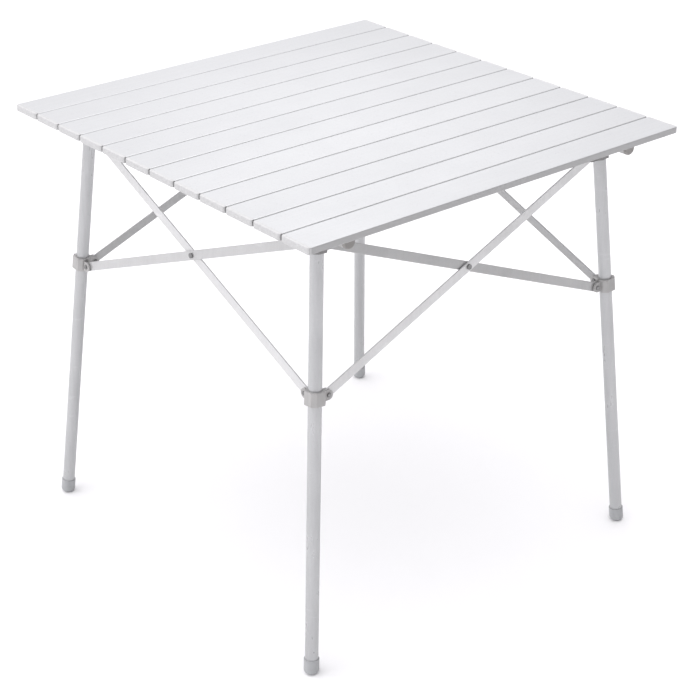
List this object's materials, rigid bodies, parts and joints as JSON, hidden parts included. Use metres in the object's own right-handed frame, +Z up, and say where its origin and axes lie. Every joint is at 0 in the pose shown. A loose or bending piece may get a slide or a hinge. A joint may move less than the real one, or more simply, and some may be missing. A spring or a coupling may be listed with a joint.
{
  "type": "folding side table",
  "caption": "Square camping side table with a roll-up slatted aluminium top that lifts off a folding scissor frame with splayed legs and sliding collars.",
  "frame": {"origin": "on the floor under the middle of the top", "axes": "+Z up, slats along X, rails along Y, nearest corner of the stored pose at -X -Y"},
  "size_m": [0.7, 0.7, 0.68],
  "materials": {
    "slat_aluminium": "satin anodised",
    "rail_aluminium": "satin anodised",
    "tube_aluminium": "satin anodised",
    "bar_aluminium": "satin anodised",
    "joint_plastic": "moulded grey nylon",
    "foot_plastic": "moulded grey",
    "cap_plastic": "moulded light grey",
    "rivet_steel": "dark plated"
  },
  "bodies": {
    "leg_front_left": {"leg_tube_front_left": "tube_aluminium", "leg_foot_front_left": "foot_plastic", "connector_front_left": "joint_plastic", "connector_rivets_front_left": "rivet_steel"},
    "leg_front_right": {"leg_tube_front_right": "tube_aluminium", "leg_foot_front_right": "foot_plastic", "connector_front_right": "joint_plastic", "connector_rivets_front_right": "rivet_steel"},
    "leg_rear_right": {"leg_tube_rear_right": "tube_aluminium", "leg_foot_rear_right": "foot_plastic", "connector_rear_right": "joint_plastic", "connector_rivets_rear_right": "rivet_steel"},
    "leg_rear_left": {"leg_tube_rear_left": "tube_aluminium", "leg_foot_rear_left": "foot_plastic", "connector_rear_left": "joint_plastic", "connector_rivets_rear_left": "rivet_steel"},
    "slider_front_left": {"collar_front_left": "joint_plastic", "collar_rivets_front_left": "rivet_steel"},
    "slider_front_right": {"collar_front_right": "joint_plastic", "collar_rivets_front_right": "rivet_steel"},
    "slider_rear_right": {"collar_rear_right": "joint_plastic", "collar_rivets_rear_right": "rivet_steel"},
    "slider_rear_left": {"collar_rear_left": "joint_plastic", "collar_rivets_rear_left": "rivet_steel"},
    "outer_front": {"bar_outer_front": "bar_aluminium", "cross_rivet_front": "rivet_steel"},
    "inner_front": {"bar_inner_front": "bar_aluminium"},
    "outer_right": {"bar_outer_right": "bar_aluminium", "cross_rivet_right": "rivet_steel"},
    "inner_right": {"bar_inner_right": "bar_aluminium"},
    "outer_rear": {"bar_outer_rear": "bar_aluminium", "cross_rivet_rear": "rivet_steel"},
    "inner_rear": {"bar_inner_rear": "bar_aluminium"},
    "outer_left": {"bar_outer_left": "bar_aluminium", "cross_rivet_left": "rivet_steel"},
    "inner_left": {"bar_inner_left": "bar_aluminium"},
    "top_base": {"slat_01": "slat_aluminium", "rail_left": "rail_aluminium", "rail_right": "rail_aluminium", "rail_caps": "cap_plastic", "rail_screws": "rivet_steel"},
    "mat_02": {"slat_02": "slat_aluminium"},
    "mat_03": {"slat_03": "slat_aluminium"},
    "mat_04": {"slat_04": "slat_aluminium"},
    "mat_05": {"slat_05": "slat_aluminium"},
    "mat_06": {"slat_06": "slat_aluminium"},
    "mat_07": {"slat_07": "slat_aluminium"},
    "mat_08": {"slat_08": "slat_aluminium"},
    "mat_09": {"slat_09": "slat_aluminium"},
    "mat_10": {"slat_10": "slat_aluminium"},
    "mat_11": {"slat_11": "slat_aluminium"},
    "mat_12": {"slat_12": "slat_aluminium"}
  },
  "joints": [
    {"name": "frame_fold", "type": "hinge", "parent": "leg_front_left", "child": "outer_left", "pos_m": [-0.27125, -0.25125, 0.633], "axis": [-0.9969, 0.0015, 0.079], "range_deg": [0, 67.81]},
    {"name": "left_cross_pivot", "type": "hinge", "parent": "outer_left", "child": "inner_left", "pos_m": [-0.27962, 0, 0.53077], "axis": [0.9967, 0, -0.0816], "range_deg": [0, 126.59]},
    {"name": "rear_left_top_pivot", "type": "hinge", "parent": "inner_left", "child": "leg_rear_left", "pos_m": [-0.27125, 0.25125, 0.633], "axis": [-0.9969, -0.0015, 0.079], "range_deg": [0, 67.81]},
    {"name": "rear_outer_pivot", "type": "hinge", "parent": "leg_rear_left", "child": "outer_rear", "pos_m": [-0.25125, 0.27125, 0.633], "axis": [0.0015, 0.9969, 0.079], "range_deg": [0, 67.81]},
    {"name": "rear_cross_pivot", "type": "hinge", "parent": "outer_rear", "child": "inner_rear", "pos_m": [0, 0.27962, 0.53077], "axis": [0, -0.9967, -0.0816], "range_deg": [0, 126.59]},
    {"name": "rear_right_top_pivot", "type": "hinge", "parent": "inner_rear", "child": "leg_rear_right", "pos_m": [0.25125, 0.27125, 0.633], "axis": [-0.0015, 0.9969, 0.079], "range_deg": [0, 67.81]},
    {"name": "front_inner_pivot", "type": "hinge", "parent": "leg_front_left", "child": "inner_front", "pos_m": [-0.25125, -0.27125, 0.633], "axis": [-0.0015, 0.9969, -0.079], "range_deg": [0, 67.81]},
    {"name": "front_cross_pivot", "type": "hinge", "parent": "inner_front", "child": "outer_front", "pos_m": [0, -0.27962, 0.53077], "axis": [0, -0.9967, 0.0816], "range_deg": [0, 126.59]},
    {"name": "front_right_top_pivot", "type": "hinge", "parent": "outer_front", "child": "leg_front_right", "pos_m": [0.25125, -0.27125, 0.633], "axis": [0.0015, 0.9969, -0.079], "range_deg": [0, 67.81]},
    {"name": "right_outer_pivot", "type": "hinge", "parent": "leg_rear_right", "child": "outer_right", "pos_m": [0.27125, 0.25125, 0.633], "axis": [0.9969, -0.0015, 0.079], "range_deg": [0, 67.81]},
    {"name": "right_inner_pivot", "type": "hinge", "parent": "leg_front_right", "child": "inner_right", "pos_m": [0.27125, -0.25125, 0.633], "axis": [-0.9969, -0.0015, -0.079], "range_deg": [0, 67.81]},
    {"name": "collar_slide_front_left", "type": "slide", "parent": "leg_front_left", "child": "slider_front_left", "axis": [-0.0814, -0.0814, -0.9934], "range_m": [0, 0.347]},
    {"name": "collar_slide_front_right", "type": "slide", "parent": "leg_front_right", "child": "slider_front_right", "axis": [0.0814, -0.0814, -0.9934], "range_m": [0, 0.347]},
    {"name": "collar_slide_rear_right", "type": "slide", "parent": "leg_rear_right", "child": "slider_rear_right", "axis": [0.0814, 0.0814, -0.9934], "range_m": [0, 0.347]},
    {"name": "collar_slide_rear_left", "type": "slide", "parent": "leg_rear_left", "child": "slider_rear_left", "axis": [-0.0814, 0.0814, -0.9934], "range_m": [0, 0.347]},
    {"name": "top_lift", "type": "slide", "parent": "leg_front_left", "child": "top_base", "axis": [0, 0, 1], "range_m": [0, 0.2]},
    {"name": "mat_roll", "type": "hinge", "parent": "top_base", "child": "mat_02", "pos_m": [0, -0.2925, 0.68], "axis": [1, 0, 0], "range_deg": [0, 46]},
    {"name": "mat_roll_03", "type": "hinge", "parent": "mat_02", "child": "mat_03", "pos_m": [0, -0.234, 0.68], "axis": [1, 0, 0], "range_deg": [0, 48.01]},
    {"name": "mat_roll_04", "type": "hinge", "parent": "mat_03", "child": "mat_04", "pos_m": [0, -0.1755, 0.68], "axis": [1, 0, 0], "range_deg": [0, 51.01]},
    {"name": "mat_roll_05", "type": "hinge", "parent": "mat_04", "child": "mat_05", "pos_m": [0, -0.117, 0.68], "axis": [1, 0, 0], "range_deg": [0, 53.01]},
    {"name": "mat_roll_06", "type": "hinge", "parent": "mat_05", "child": "mat_06", "pos_m": [0, -0.0585, 0.68], "axis": [1, 0, 0], "range_deg": [0, 56.01]},
    {"name": "mat_roll_07", "type": "hinge", "parent": "mat_06", "child": "mat_07", "pos_m": [0, 0, 0.68], "axis": [1, 0, 0], "range_deg": [0, 59.01]},
    {"name": "mat_roll_08", "type": "hinge", "parent": "mat_07", "child": "mat_08", "pos_m": [0, 0.0585, 0.68], "axis": [1, 0, 0], "range_deg": [0, 61.01]},
    {"name": "mat_roll_09", "type": "hinge", "parent": "mat_08", "child": "mat_09", "pos_m": [0, 0.117, 0.68], "axis": [1, 0, 0], "range_deg": [0, 64.01]},
    {"name": "mat_roll_10", "type": "hinge", "parent": "mat_09", "child": "mat_10", "pos_m": [0, 0.1755, 0.68], "axis": [1, 0, 0], "range_deg": [0, 73.01]},
    {"name": "mat_roll_11", "type": "hinge", "parent": "mat_10", "child": "mat_11", "pos_m": [0, 0.234, 0.68], "axis": [1, 0, 0], "range_deg": [0, 76.01]},
    {"name": "mat_roll_12", "type": "hinge", "parent": "mat_11", "child": "mat_12", "pos_m": [0, 0.2925, 0.68], "axis": [1, 0, 0], "range_deg": [0, 78.01]}
  ],
  "couplings": [
    {"joint": "left_cross_pivot", "follows": "frame_fold", "ratio": 1.8668},
    {"joint": "rear_left_top_pivot", "follows": "frame_fold", "ratio": 1},
    {"joint": "rear_outer_pivot", "follows": "frame_fold", "ratio": 1},
    {"joint": "rear_cross_pivot", "follows": "frame_fold", "ratio": 1.8668},
    {"joint": "rear_right_top_pivot", "follows": "frame_fold", "ratio": 1},
    {"joint": "front_inner_pivot", "follows": "frame_fold", "ratio": 1},
    {"joint": "front_cross_pivot", "follows": "frame_fold", "ratio": 1.8668},
    {"joint": "front_right_top_pivot", "follows": "frame_fold", "ratio": 1},
    {"joint": "right_outer_pivot", "follows": "frame_fold", "ratio": 1},
    {"joint": "right_inner_pivot", "follows": "frame_fold", "ratio": 1},
    {"joint": "collar_slide_front_left", "follows": "frame_fold", "m_per_rad": 0.29305},
    {"joint": "collar_slide_front_right", "follows": "frame_fold", "m_per_rad": 0.29305},
    {"joint": "collar_slide_rear_right", "follows": "frame_fold", "m_per_rad": 0.29305},
    {"joint": "collar_slide_rear_left", "follows": "frame_fold", "m_per_rad": 0.29305},
    {"joint": "mat_roll_03", "follows": "mat_roll", "ratio": 1.0435},
    {"joint": "mat_roll_04", "follows": "mat_roll", "ratio": 1.1087},
    {"joint": "mat_roll_05", "follows": "mat_roll", "ratio": 1.1522},
    {"joint": "mat_roll_06", "follows": "mat_roll", "ratio": 1.2174},
    {"joint": "mat_roll_07", "follows": "mat_roll", "ratio": 1.2826},
    {"joint": "mat_roll_08", "follows": "mat_roll", "ratio": 1.3261},
    {"joint": "mat_roll_09", "follows": "mat_roll", "ratio": 1.3913},
    {"joint": "mat_roll_10", "follows": "mat_roll", "ratio": 1.587},
    {"joint": "mat_roll_11", "follows": "mat_roll", "ratio": 1.6522},
    {"joint": "mat_roll_12", "follows": "mat_roll", "ratio": 1.6957}
  ]
}
